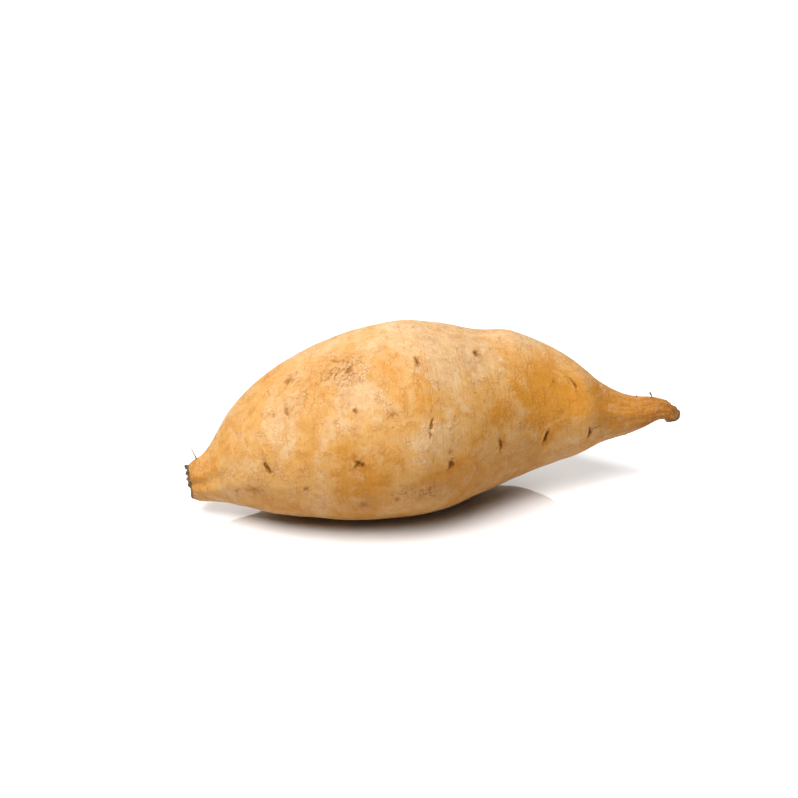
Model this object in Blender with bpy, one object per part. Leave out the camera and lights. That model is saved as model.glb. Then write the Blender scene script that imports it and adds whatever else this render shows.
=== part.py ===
"""Sweet potato: one solid root, lying on a small flat rest spot.

X runs from the cut stem end (-X) to the root tail (+X), Z is up from the
table, and the origin is the middle of the underside of its box.
"""

import math

import bmesh
import bpy
import numpy as np
from mathutils import Vector

# --- driving dimensions, metres ---
LENGTH = 0.170          # stem cut to the end of the tail
BELLY_HEIGHT = 0.0655   # thickest part, up and down
BELLY_WIDTH = 0.0705    # thickest part, side to side
STEM_CUT_WIDTH = 0.0135  # the dried cut where it left the vine
STEM_CUT_LEAN = 0.0007  # how far the top of the cut stands out past its middle
STEM_CUT_DISH = 0.0006  # the middle of the cut has dried inwards by this much
STEM_DROP = 0.0195      # the stem end hangs this far below the belly's middle
TAIL_THICKNESS = 0.0062  # root tail, just before its tip
TAIL_TIP = 0.0036       # the broken tip
TAIL_DROP = 0.0045      # the tail lies this far below the belly's middle
TAIL_HOOK = 0.0052      # the tip turns down by this much
BOW = 0.0065            # the belly bows this far towards -Y
TAIL_SWAY = 0.0045      # the tail comes back towards -Y by this much
SADDLE_DEPTH = 0.0011   # hollow across the top, past the belly
SHOULDER_RISE = 0.0008  # swelling that follows the hollow
FURROW_DEPTH = 0.00045  # lengthwise furrows, deepest at the two ends
EYE_DENT_DEPTH = 0.0007  # broad hollow round each root eye
EYE_DENT_REACH = 0.0040  # how far along the root that hollow reaches
LUMP_HEIGHT = 0.0006    # slow unevenness all over
REST_DEPTH = 0.0005     # flattened where it lies on the table

# --- proportions ---
TAIL_TURN = 62          # degrees that the last ring leans, so that the tip points down
TAIL_TURN_START = 0.93  # share of the length where that turn begins
STEM_LEAN_END = 0.15    # share of the length where the lean of the cut has died away
TIP_ROUND = 0.008       # share of the length that rounds off the tip
SIDES = 48              # points round a ring
RINGS = 64
CUT_RINGS = 3           # rings of these that lie on the stem cut
END_CROWDING = 0.72     # rings stand closer together at the two ends

# share of the length, thickness as a share of the belly's
GIRTHS = (
    (0.035, 0.250), (0.060, 0.355), (0.088, 0.491), (0.118, 0.586), (0.147, 0.685),
    (0.218, 0.829), (0.288, 0.926), (0.359, 0.980), (0.429, 1.000), (0.500, 0.960),
    (0.571, 0.880), (0.641, 0.795), (0.694, 0.720), (0.747, 0.613),
    (0.794, 0.493), (0.841, 0.317), (0.888, 0.210), (0.935, 0.148),
)
TAIL_END = 0.972        # share of the length where the tail has its own thickness

# share of the length, how high the middle of the ring stands between the
# belly's middle (0) and the full drop of its end (1)
STEM_FALL = ((0.00, 1.00), (0.035, 0.91), (0.060, 0.74), (0.088, 0.575), (0.147, 0.365),
             (0.218, 0.21), (0.288, 0.10), (0.359, 0.04), (0.429, 0.00), (1.00, 0.00))
TAIL_FALL = ((0.00, 0.00), (0.429, 0.00), (0.500, 0.20), (0.571, 0.33),
             (0.641, 0.45), (0.694, 0.60), (0.747, 0.65), (0.794, 0.73),
             (0.841, 1.08), (0.888, 1.26), (0.935, 1.05), (1.00, 0.78))
# share of the length, sideways place between straight (0) and the full bow (1)
BOW_SHAPE = ((0.00, 0.35), (0.088, 0.50), (0.218, 0.80), (0.341, 1.00),
             (0.429, 0.85), (0.500, 0.48), (0.571, 0.00), (0.641, -0.56),
             (0.694, -0.80), (0.747, -0.62), (0.794, -0.03), (0.841, 0.09), (1.00, 0.00))
SWAY_SHAPE = ((0.00, 0.00), (0.794, 0.00), (0.841, 0.25), (0.888, 0.70),
              (0.941, 1.15), (1.00, 1.70))
HOOK_SHAPE = ((0.00, 0.00), (0.957, 0.00), (0.982, 0.26), (1.00, 1.00))

# broad swellings and hollows: share of the length, angle from the top
# (degrees, towards -Y), reach along, reach round (degrees), height
SWELLINGS = (
    (0.595, 0, 0.045, 55, -SADDLE_DEPTH),
    (0.668, -10, 0.035, 50, SHOULDER_RISE),
    (0.250, 60, 0.060, 40, LUMP_HEIGHT),
    (0.470, 115, 0.070, 35, LUMP_HEIGHT),
    (0.380, 215, 0.080, 40, -LUMP_HEIGHT),
    (0.560, 270, 0.070, 45, LUMP_HEIGHT),
    (0.200, 300, 0.060, 40, -LUMP_HEIGHT),
    (0.660, 95, 0.040, 35, -LUMP_HEIGHT),
    (0.065, 0, 0.035, 60, -LUMP_HEIGHT),
    (0.430, 20, 0.060, 40, LUMP_HEIGHT),
)
# root eyes, row by row: share of the length, angle from the top as above
EYE_ROWS = (
    ((0.139, 84), (0.306, 86), (0.483, 93), (0.591, 86), (0.693, 93), (0.799, 105)),
    ((0.181, 42), (0.303, 55), (0.374, 63), (0.444, 70)),
    ((0.192, 16), (0.293, 27), (0.433, 34), (0.563, 24), (0.767, 44)),
    ((0.160, -35), (0.275, -42), (0.410, -38), (0.545, -47), (0.680, -40)),
    ((0.215, -92), (0.350, -98), (0.470, -90), (0.620, -99), (0.745, -93)),
    ((0.135, -140), (0.290, -148), (0.520, -143), (0.655, -150), (0.790, -141)),
    ((0.240, 158), (0.560, 150), (0.700, 160)),
)
EYE_SPREAD = 13         # degrees round the root that an eye's hollow reaches


def smooth(points, at):
    """Value of a curve through the points, eased so that it never overshoots."""
    x, y = np.array(points, float).T
    rise = np.diff(y) / np.diff(x)
    slope = np.zeros(len(x))
    slope[0], slope[-1] = rise[0], rise[-1]
    for k in range(1, len(x) - 1):
        if rise[k - 1] * rise[k] > 0:
            slope[k] = 2 * rise[k - 1] * rise[k] / (rise[k - 1] + rise[k])
    i = int(np.clip(np.searchsorted(x, at, side="right") - 1, 0, len(x) - 2))
    gap = x[i + 1] - x[i]
    t = (at - x[i]) / gap
    return float((1 + 2 * t) * (1 - t) ** 2 * y[i] + t * (1 - t) ** 2 * gap * slope[i]
                 + t * t * (3 - 2 * t) * y[i + 1] + t * t * (t - 1) * gap * slope[i + 1])


def girth(share):
    """Thickness of the root as a share of the belly's."""
    ends = ((0.0, STEM_CUT_WIDTH / BELLY_WIDTH),) + GIRTHS
    ends += ((TAIL_END, TAIL_THICKNESS / BELLY_HEIGHT), (1.0, TAIL_TIP / BELLY_HEIGHT))
    return smooth(ends, share)


def middle(share):
    """Middle of the ring at this share of the length."""
    x = LENGTH * (share - 0.5)
    y = -BOW * smooth(BOW_SHAPE, share) - TAIL_SWAY * smooth(SWAY_SHAPE, share)
    z = (BELLY_HEIGHT / 2 - STEM_DROP * smooth(STEM_FALL, share)
         - TAIL_DROP * smooth(TAIL_FALL, share) - TAIL_HOOK * smooth(HOOK_SHAPE, share))
    return Vector((x, y, z))


def lean(share):
    """How far the ring leans out of upright, radians, top towards +X."""
    cut = math.atan2(STEM_CUT_LEAN, STEM_CUT_WIDTH / 2)
    fade = max(0.0, 1 - share / STEM_LEAN_END)
    turn = max(0.0, (share - TAIL_TURN_START) / (1 - TAIL_TURN_START))
    return math.radians(TAIL_TURN) * turn ** 1.5 - cut * fade


def turned_by(angle, centre):
    """Turn from the centre angle, degrees in -180..180."""
    return (math.degrees(angle) - centre + 180) % 360 - 180


def relief(share, angle):
    """Height of the skin over the plain oval of the ring, metres."""
    height = 0.0
    for along, around, reach, spread, amount in SWELLINGS:
        far = ((share - along) / reach) ** 2 + (turned_by(angle, around) / spread) ** 2
        height += amount * math.exp(-far)
    reach = EYE_DENT_REACH / LENGTH
    for row in EYE_ROWS:
        for along, around in row:
            far = ((share - along) / reach) ** 2 + (turned_by(angle, around) / EYE_SPREAD) ** 2
            height -= EYE_DENT_DEPTH * math.exp(-far)
    ends = math.exp(-((share - 0.03) / 0.07) ** 2) + math.exp(-((share - 0.86) / 0.08) ** 2)
    furrows = math.cos(7 * angle + 5 * share) + 0.6 * math.cos(11 * angle - 9 * share + 1)
    return height + FURROW_DEPTH * ends * furrows * min(1.0, (1 - share) / 0.12)


def skin_point(share, angle, inset):
    """Point of the skin; inset 1 is the skin itself, 0 the middle of the ring."""
    size = girth(share)
    height = relief(share, angle)
    across = (BELLY_WIDTH / 2 * size + height) * inset * math.sin(angle)
    upright = (BELLY_HEIGHT / 2 * size + height) * inset * math.cos(angle)
    tilt = lean(share)
    return middle(share) + Vector((upright * math.sin(tilt), -across, upright * math.cos(tilt)))


def root_body():
    """The root as a ball whose rings are drawn out along its length."""
    bm = bmesh.new()
    bmesh.ops.create_uvsphere(bm, u_segments=SIDES, v_segments=RINGS, radius=1.0)
    cut = CUT_RINGS / RINGS
    for vert in bm.verts:
        down = math.acos(max(-1.0, min(1.0, vert.co.z))) / math.pi
        angle = math.atan2(vert.co.y, vert.co.x)
        if down < cut + 1e-6:
            dished = STEM_CUT_DISH * (1 - (down / cut) ** 2)
            vert.co = skin_point(0.0, angle, down / cut) + Vector((dished, 0, 0))
            continue
        way = (down - cut) / (1 - cut)
        share = (1 - END_CROWDING) * way + END_CROWDING * (0.5 - 0.5 * math.cos(math.pi * way))
        tip = max(0.0, (share - 1 + TIP_ROUND) / TIP_ROUND)
        vert.co = skin_point(share, angle, math.sqrt(max(0.0, 1 - tip * tip)))
    bmesh.ops.recalc_face_normals(bm, faces=bm.faces)
    return bm


def skin_material():
    skin = bpy.data.materials.new("sweet_potato_skin")
    skin.use_nodes = True
    shader = skin.node_tree.nodes["Principled BSDF"]
    shader.inputs["Base Color"].default_value = (0.62, 0.36, 0.17, 1)
    shader.inputs["Roughness"].default_value = 0.5
    return skin


def add_object(name, mesh, collection):
    item = bpy.data.objects.new(name, mesh)
    collection.objects.link(item)
    return item


def build():
    for old in list(bpy.data.objects):
        bpy.data.objects.remove(old)
    parts = bpy.data.collections.new("sweet_potato")
    cutters = bpy.data.collections.new("cutters")
    for collection in (parts, cutters):
        bpy.context.scene.collection.children.link(collection)

    bm = root_body()
    low = [min(v.co[i] for v in bm.verts) for i in range(3)]
    high = [max(v.co[i] for v in bm.verts) for i in range(3)]
    centre = Vector(((low[0] + high[0]) / 2, (low[1] + high[1]) / 2, low[2] + REST_DEPTH))
    bmesh.ops.translate(bm, verts=bm.verts, vec=-centre)
    mesh = bpy.data.meshes.new("sweet_potato")
    bm.to_mesh(mesh)
    bm.free()
    mesh.materials.append(skin_material())
    root = add_object("sweet_potato", mesh, parts)

    table = bmesh.new()
    bmesh.ops.create_cube(table, size=1.0)
    depth = 0.02
    bmesh.ops.scale(table, vec=(1.5 * LENGTH, 2 * BELLY_WIDTH, depth), verts=table.verts)
    bmesh.ops.translate(table, vec=(0, 0, -depth / 2), verts=table.verts)
    slab = bpy.data.meshes.new("rest_cutter")
    table.to_mesh(slab)
    table.free()
    cutter = add_object("rest_cutter", slab, cutters)
    cutter.hide_render = True
    cutter.display_type = "WIRE"

    rest = root.modifiers.new("rest_spot", "BOOLEAN")
    rest.operation = "DIFFERENCE"
    rest.solver = "EXACT"
    rest.object = cutter


build()
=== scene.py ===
import math
import random

import bmesh
import bpy
import numpy as np
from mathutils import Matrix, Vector, noise
from mathutils.bvhtree import BVHTree


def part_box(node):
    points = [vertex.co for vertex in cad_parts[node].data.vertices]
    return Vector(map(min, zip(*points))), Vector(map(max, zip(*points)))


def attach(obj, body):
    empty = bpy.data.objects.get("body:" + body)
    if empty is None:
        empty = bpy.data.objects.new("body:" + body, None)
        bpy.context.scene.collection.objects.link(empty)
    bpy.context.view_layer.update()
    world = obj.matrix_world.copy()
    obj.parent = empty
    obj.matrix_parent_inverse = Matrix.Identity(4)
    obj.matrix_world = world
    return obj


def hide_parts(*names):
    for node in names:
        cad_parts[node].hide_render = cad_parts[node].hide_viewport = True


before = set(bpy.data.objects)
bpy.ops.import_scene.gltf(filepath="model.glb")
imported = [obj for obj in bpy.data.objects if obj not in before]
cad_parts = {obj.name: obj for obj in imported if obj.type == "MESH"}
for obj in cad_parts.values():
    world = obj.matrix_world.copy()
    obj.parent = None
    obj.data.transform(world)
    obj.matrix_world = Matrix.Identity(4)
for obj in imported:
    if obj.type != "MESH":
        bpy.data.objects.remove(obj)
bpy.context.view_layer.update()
rootLow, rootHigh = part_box("sweet_potato")
rootMiddle = (rootLow + rootHigh) / 2
mm = 0.001
print("frame loaded")


# the root's shape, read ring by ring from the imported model
rootSpec = {
    "length": 0.170,         # stem cut to tail tip
    "stemLean": 5.9,         # degrees, top of the cut stands out
    "stemLeanEnd": 0.15,     # share of the length where that has died away
    "tailTurn": 62,          # degrees, the last rings follow the hook
    "tailTurnStart": 0.93,
    "rings": 260,
    "sides": 180,
    "firstShare": 0.005,
    "lastShare": 0.990,
    "blurAlong": 1.7 * mm,   # takes the facets out of the readings
    "blurAround": 3.9,       # degrees
    "endBlur": 0.4,          # the two ends keep more of their detail
    "stemDetail": (0.02, 0.06), "tailDetail": (0.80, 0.88),
    "middleBlur": 1.5 * mm,
    "rimRound": 0.8 * mm,    # the skin turns in at the stem cut
    "rimRoundEnd": 0.022,
}


def ringLean(share):
    fade = np.maximum(0.0, 1 - share / rootSpec["stemLeanEnd"])
    start = rootSpec["tailTurnStart"]
    turn = np.maximum(0.0, (share - start) / (1 - start))
    return np.radians(rootSpec["tailTurn"] * turn ** 1.5 - rootSpec["stemLean"] * fade)


def ringAxes(share):
    lean = ringLean(share)
    return Vector((math.sin(lean), 0, math.cos(lean))), Vector((0, -1, 0))


def readRing(surface, middle, share):
    up, front = ringAxes(share)
    sides = rootSpec["sides"]
    spokes = [up * math.cos(a) + front * math.sin(a) for a in np.arange(sides) * 2 * math.pi / sides]
    for attempt in range(5):  # slide to the middle of the walls
        reach = [surface.ray_cast(middle, spoke)[3] for spoke in spokes]
        middle = middle + 2 * sum((s * r for s, r in zip(spokes, reach)), Vector()) / sides
    return middle, [surface.ray_cast(middle, spoke)[3] for spoke in spokes]


def blurred(grid, sigma, axis, wraps):
    if sigma < 0.05:
        return grid
    span = min(int(3 * sigma) + 1, grid.shape[axis] - 1)
    steps = np.arange(-span, span + 1)
    weights = np.exp(-0.5 * (steps / sigma) ** 2)
    weights /= weights.sum()
    pads = [(0, 0)] * grid.ndim
    pads[axis] = (span, span)
    padded = np.pad(grid, pads, "wrap") if wraps else np.pad(grid, pads, "reflect", reflect_type="odd")
    size = grid.shape[axis]
    return sum(w * np.take(padded, range(k, k + size), axis) for k, w in enumerate(weights))


def smoothStep(value, low, high):
    t = np.clip((value - low) / (high - low), 0, 1)
    return t * t * (3 - 2 * t)


def readRoot(cadRoot):
    mesh = cadRoot.data
    surface = BVHTree.FromPolygons([v.co for v in mesh.vertices], [p.vertices[:] for p in mesh.polygons])
    shares = np.linspace(rootSpec["firstShare"], rootSpec["lastShare"], rootSpec["rings"])
    step = rootSpec["length"] * (shares[1] - shares[0])
    nearStem = [v.co for v in mesh.vertices if v.co.x < rootLow.x + 2 * mm]
    middle = sum(nearStem, Vector()) / len(nearStem)
    middle.x = rootMiddle.x + rootSpec["length"] * (shares[0] - 0.5)
    middles, reaches = [], []
    drift = Vector((0, 0, 0))
    for share in shares:
        before = middle.copy()
        middle, reach = readRing(surface, middle, share)
        middles.append(middle[:])
        reaches.append(reach)
        drift = 0.5 * drift + 0.5 * (middle - before) * Vector((0, 1, 1)).length / math.sqrt(2)
        middle = middle + Vector((step, 0, 0))
    middles, reaches = np.array(middles), np.array(reaches)
    ends = 1 - smoothStep(shares, *rootSpec["stemDetail"]) + smoothStep(shares, *rootSpec["tailDetail"])
    ringGap, sideGap = step, 360 / rootSpec["sides"]
    coarse = blurred(reaches, rootSpec["blurAlong"] / ringGap, 0, False)
    coarse = blurred(coarse, rootSpec["blurAround"] / sideGap, 1, True)
    fine = blurred(reaches, rootSpec["blurAlong"] * rootSpec["endBlur"] / ringGap, 0, False)
    fine = blurred(fine, rootSpec["blurAround"] / sideGap, 1, True)
    reaches = coarse + (fine - coarse) * ends[:, None]
    middles = blurred(middles, rootSpec["middleBlur"] / ringGap, 0, False)
    slope = (shares[1] - shares[0])
    first = shares[0] / slope
    last = (1 - shares[-1]) / slope
    middles = np.vstack([middles[0] - first * (middles[1] - middles[0]), middles,
                         middles[-1] + last * (middles[-1] - middles[-2])])
    reaches = np.vstack([reaches[0] - first * (reaches[1] - reaches[0]), reaches, reaches[-1]])
    shares = np.concatenate([[0], shares, [1]])
    turnIn = np.maximum(0, 1 - shares / rootSpec["rimRoundEnd"]) ** 2
    reaches -= rootSpec["rimRound"] * turnIn[:, None]
    return {"shares": shares, "middles": middles, "reaches": reaches}


root = readRoot(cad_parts["sweet_potato"])
print("root read:", len(root["shares"]), "rings")


def reachAt(share, angle):
    row = np.interp(share, root["shares"], np.arange(len(root["shares"])))
    side = (np.asarray(angle) % 360) * rootSpec["sides"] / 360
    r0, s0 = np.floor(row).astype(int), np.floor(side).astype(int)
    r1 = np.minimum(r0 + 1, len(root["shares"]) - 1)
    fr, fs = row - r0, side - s0
    s0, s1 = s0 % rootSpec["sides"], (s0 + 1) % rootSpec["sides"]
    grid = root["reaches"]
    return ((1 - fr) * ((1 - fs) * grid[r0, s0] + fs * grid[r0, s1])
            + fr * ((1 - fs) * grid[r1, s0] + fs * grid[r1, s1]))


def skinPlace(share, angle, lift=0.0, inset=1.0):
    share, angle = np.asarray(share, float), np.asarray(angle, float)
    lean, turn = ringLean(share), np.radians(angle)
    far = (reachAt(share, angle) + lift) * inset
    upright, across = far * np.cos(turn), far * np.sin(turn)
    place = np.stack([np.interp(share, root["shares"], root["middles"][:, k]) for k in range(3)], -1)
    place[..., 0] += upright * np.sin(lean)
    place[..., 1] -= across
    place[..., 2] += upright * np.cos(lean)
    return place


# short ways to add nodes, and the groups that several materials share
def addNode(tree, kind, inputs=None, **settings):
    made = tree.nodes.new("ShaderNode" + kind)
    for name, value in settings.items():
        setattr(made, name, value)
    for name, value in (inputs or {}).items():
        if isinstance(value, bpy.types.NodeSocket):
            tree.links.new(value, made.inputs[name])
        else:
            made.inputs[name].default_value = value
    return made


def calc(tree, operation, first, second=0.0, clamp=False):
    return addNode(tree, "Math", {0: first, 1: second}, operation=operation, use_clamp=clamp).outputs[0]


def remap(tree, value, low, high, toLow=0.0, toHigh=1.0):
    inputs = {"Value": value, "From Min": low, "From Max": high, "To Min": toLow, "To Max": toHigh}
    return addNode(tree, "MapRange", inputs, interpolation_type="SMOOTHSTEP").outputs[0]


def tint(tree, factor, first, second, mode="MIX"):
    colours = [c if isinstance(c, bpy.types.NodeSocket) else (*c, 1) for c in (first, second)]
    made = addNode(tree, "Mix", {0: factor, 6: colours[0], 7: colours[1]}, data_type="RGBA", blend_type=mode)
    return made.outputs[2]


def attribute(tree, name, output="Fac"):
    return addNode(tree, "Attribute", attribute_name=name).outputs[output]


def scaled(tree, vector, amounts):
    return addNode(tree, "VectorMath", {0: vector, 1: amounts}, operation="MULTIPLY").outputs[0]


def newGroup(name, inputs):
    group = bpy.data.node_groups.new(name, "ShaderNodeTree")
    for label, kind, value in inputs:
        socket = group.interface.new_socket(label, in_out="INPUT", socket_type="NodeSocket" + kind)
        if value is not None:
            socket.default_value = value
    group.interface.new_socket("Mask", in_out="OUTPUT", socket_type="NodeSocketFloat")
    return group, group.nodes.new("NodeGroupInput").outputs, group.nodes.new("NodeGroupOutput").inputs


def useGroup(tree, group, inputs):
    made = tree.nodes.new("ShaderNodeGroup")
    made.node_tree = group
    for name, value in inputs.items():
        if isinstance(value, bpy.types.NodeSocket):
            tree.links.new(value, made.inputs[name])
        else:
            made.inputs[name].default_value = value
    return made.outputs["Mask"]


def makeCloudTone():  # soft patches, from a noise that bends itself
    group, given, out = newGroup("cloudTone", [
        ("Vector", "Vector", None), ("Scale", "Float", 0.1), ("Detail", "Float", 3.0),
        ("Bend", "Float", 0.5), ("Low", "Float", 0.4), ("High", "Float", 0.6)])
    cloud = addNode(group, "TexNoise", {"Vector": given["Vector"], "Scale": given["Scale"],
                                        "Detail": given["Detail"], "Roughness": 0.58,
                                        "Distortion": given["Bend"]})
    group.links.new(remap(group, cloud.outputs["Fac"], given["Low"], given["High"]), out["Mask"])
    return group


def makeSpeckle():  # small round specks in some of the cells
    group, given, out = newGroup("drySpeckle", [
        ("Vector", "Vector", None), ("Scale", "Float", 1.0),
        ("Size", "Float", 0.25), ("Filled", "Float", 0.3)])
    cells = addNode(group, "TexVoronoi", {"Vector": given["Vector"], "Scale": given["Scale"],
                                          "Randomness": 1.0})
    pick = addNode(group, "SeparateColor", {0: cells.outputs["Color"]})
    chosen = calc(group, "LESS_THAN", pick.outputs[0], given["Filled"])
    size = calc(group, "MULTIPLY", given["Size"], remap(group, pick.outputs[1], 0, 1, 0.5, 1.2))
    edge = calc(group, "DIVIDE", cells.outputs["Distance"], size)
    dot = remap(group, edge, 0.6, 1.1, 1, 0)
    group.links.new(calc(group, "MULTIPLY", dot, chosen), out["Mask"])
    return group


def makeStreaks():  # long fine lines: stretch the noise one way
    group, given, out = newGroup("fineStreaks", [
        ("Vector", "Vector", None), ("Stretch", "Vector", (1, 1, 1)),
        ("Low", "Float", 0.4), ("High", "Float", 0.6)])
    pulled = scaled(group, given["Vector"], given["Stretch"])
    lines = addNode(group, "TexNoise", {"Vector": pulled, "Scale": 1.0, "Detail": 4.0, "Roughness": 0.62,
                                        "Distortion": 0.25})
    group.links.new(remap(group, lines.outputs["Fac"], given["Low"], given["High"]), out["Mask"])
    return group


cloudTone, drySpeckle, fineStreaks = makeCloudTone(), makeSpeckle(), makeStreaks()


def newMaterial(name, settings):
    material = bpy.data.materials.new(name)
    material.use_nodes = True
    shader = material.node_tree.nodes["Principled BSDF"]
    for socket, value in settings.items():
        shader.inputs[socket].default_value = value
    return material, material.node_tree, shader


def bumpOf(tree, height, distance, strength, before=None):
    inputs = {"Height": height, "Distance": distance, "Strength": strength}
    if before is not None:
        inputs["Normal"] = before
    return addNode(tree, "Bump", inputs).outputs[0]


# root eyes: share of the length, degrees from the top, half length and half
# width of the slit, how far it tilts, depth, and how far its stain reaches (mm)
eyeRows = (
    ((0.144, 83, 2.1, 0.50, 26, 0.80, 3.0), (0.310, 87, 1.0, 0.75, 0, 0.80, 4.6),
     (0.317, 88, 0.8, 0.60, 10, 0.60, 3.0), (0.491, 95, 1.5, 0.80, -8, 0.85, 4.0),
     (0.489, 87, 0.7, 0.60, 15, 0.25, 2.6), (0.601, 90, 1.9, 0.50, 10, 0.80, 3.2),
     (0.704, 96, 2.3, 0.50, -16, 1.00, 3.4), (0.799, 100, 1.7, 0.42, -5, 0.80, 2.2)),
    ((0.186, 43, 1.8, 0.45, 5, 0.35, 3.6), (0.163, 41, 1.3, 0.35, 5, 0.22, 1.8),
     (0.309, 56, 0.6, 0.50, 0, 0.40, 1.6), (0.380, 62, 0.8, 0.90, 0, 0.25, 2.8),
     (0.452, 70, 1.5, 0.42, -16, 0.50, 2.4), (0.449, 76, 0.8, 0.35, 4, 0.35, 1.6)),
    ((0.196, 16, 1.4, 0.90, 10, 0.40, 2.6), (0.309, 29, 1.3, 0.70, -35, 0.45, 3.2),
     (0.287, 18, 1.4, 0.45, 55, 0.30, 2.6), (0.440, 33, 1.5, 0.70, 4, 0.50, 3.2),
     (0.569, 24, 1.3, 0.90, 0, 0.60, 2.4), (0.773, 44, 1.7, 0.45, 25, 0.50, 2.2),
     (0.727, 48, 0.5, 0.40, 0, 0.30, 1.5)),
    ((0.121, 105, 1.5, 1.00, 30, 0.25, 3.4), (0.213, 102, 0.8, 0.60, 0, 0.32, 2.0),
     (0.323, 117, 1.4, 1.10, 0, 0.22, 2.6), (0.386, 114, 0.8, 0.70, 40, 0.30, 1.6),
     (0.448, 108, 0.7, 0.50, -30, 0.25, 1.8), (0.086, 105, 0.6, 0.50, 0, 0.25, 1.6)),
    ((0.160, -35), (0.275, -42), (0.410, -38), (0.545, -47), (0.680, -40)),
    ((0.215, -92), (0.350, -98), (0.470, -90), (0.620, -99), (0.745, -93)),
    ((0.135, -140), (0.290, -148), (0.520, -143), (0.655, -150), (0.790, -141)),
    ((0.240, 158), (0.560, 150), (0.700, 160)),
)
# warmer (above 0) and creamier (below 0) patches: share, degrees, reach in mm, amount; most are the skin's
# own tone, and the painted light among them is marked below
toneAndPaintedLightPatches = (
    (0.247, 14, 5, 0.5), (0.179, 3, 6, 0.4), (0.368, 33, 5, 0.6), (0.396, 42, 6, 0.6),
    (0.448, 55, 7, 0.7), (0.233, 52, 7, 0.5), (0.292, 76, 6, 0.45), (0.210, 75, 6, 0.5),
    (0.043, 53, 7, 0.6), (0.320, 97, 7, 0.8), (0.711, 46, 9, 0.6), (0.733, 59, 4, 0.9),
    (0.682, 76, 6, 0.5), (0.591, 72, 7, 0.5), (0.780, 58, 7, 0.5), (0.850, 50, 8, 0.6),
    (0.940, 30, 8, 0.9), (0.187, 70, 4, -0.7), (0.329, 50, 7, -0.5), (0.451, 17, 9, -0.6),
    (0.167, 50, 6, -0.4), (0.184, 97, 6, -0.4), (0.449, 82, 7, -0.5), (0.246, 113, 7, -0.5),
    (0.495, 42, 7, -0.7), (0.571, 33, 8, -0.5), (0.699, 2, 8, -0.5), (0.644, 86, 7, -0.6),
    (0.763, 96, 5, -0.7), (0.738, 112, 7, -0.4), (0.528, 112, 8, 0.3), (0.708, 58, 16, 0.5),
    (0.628, 85, 12, 0.3), (0.830, 75, 11, 0.45), (0.478, 100, 18, 0.25), (0.158, 100, 12, 0.4),
    (0.308, 48, 24, -0.30), (0.128, 60, 14, -0.15), (0.568, 88, 12, -0.25),
    # painted shade: the wide warm patches on this line, and the first one on the next, sit at 104 to 118
    # degrees and darken the lower front
    (0.210, 116, 15, 0.35), (0.350, 118, 22, 0.35), (0.500, 112, 16, 0.25), (0.620, 108, 15, 0.40),
    # painted highlight: the last three patches are wide and pale over the top and make the top lighter
    (0.720, 104, 12, 0.40), (0.430, -4, 26, -0.35), (0.560, 2, 18, -0.30), (0.340, 2, 16, -0.20),
)
# scuffed, dusty places: share, degrees, reach along and around in mm, strength
scuffs = (
    (0.300, 27, 8, 7, 0.9), (0.436, 110, 11, 4.5, 1.0), (0.121, 105, 5, 4, 0.8),
    (0.385, 62, 4, 2, 0.6), (0.258, 32, 14, 11, 0.30), (0.323, 116, 4, 3, 0.7),
    (0.206, 45, 5, 3, 0.5), (0.019, 38, 1.0, 1.0, 0.8), (0.196, 15, 3, 3, 0.6),
    (0.655, 100, 5, 2.5, 0.45), (0.350, -60, 8, 6, 0.8), (0.600, -120, 7, 5, 0.7),
    (0.200, -150, 6, 6, 0.6), (0.750, -30, 5, 4, 0.5), (0.500, 172, 14, 6, 0.7), (0.530, -75, 10, 5, 0.5),
)

skinSpec = {
    "gapStem": 0.40 * mm, "gapBody": 0.66 * mm, "gapTail": 0.36 * mm,  # between rings of points
    "stemPart": 8 * mm, "tailPart": 16 * mm,
    "sides": 176,
    "tipRound": 0.008,      # share of the length that rounds off the tip
    # where each end's relief comes in, as shares of the length
    "tailFrom": (0.80, 0.90), "tipFrom": (0.955, 0.985), "stemTo": (0.03, 0.13),
    "lump": 0.22 * mm, "dimple": 0.07 * mm,
    # how wide each kind of relief is, in mm
    "lumpWide": 15, "dimpleWide": 4.5, "knobWide": 1.1, "scuffPitWide": 1.4,
    "furrowLong": 13, "furrowsRound": 3.4,
    "tipDroop": 2.2 * mm, "tipReach": 0.5 * mm, "tipDroopStart": 0.966, "tipLift": 0.75 * mm,
    "tipLiftRange": (0.915, 0.955), "tipBulge": 0.15 * mm, "tipBulgeRange": (0.978, 0.990),
    "tailFurrow": 0.34 * mm, "stemFurrow": 0.20 * mm, "tipKnob": 0.62 * mm,
    "eyeLip": 0.34, "eyeCrease": 0.10 * mm, "eyeFade": (5.0, 7.5),
    "scuffPit": 0.10 * mm,
    "seed": 11,
}


def fullEyes():  # the hidden rows give only places: their slits vary as the seen ones do
    draw = random.Random(skinSpec["seed"])
    eyes = []
    for row in eyeRows:
        for eye in row:
            if len(eye) == 2:
                eye = (*eye, draw.uniform(1.2, 2.7), draw.uniform(0.4, 0.8), draw.uniform(-20, 20),
                       draw.uniform(0.45, 0.9), draw.uniform(2.4, 4.6))
            eyes.append(eye)
    return eyes


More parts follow.
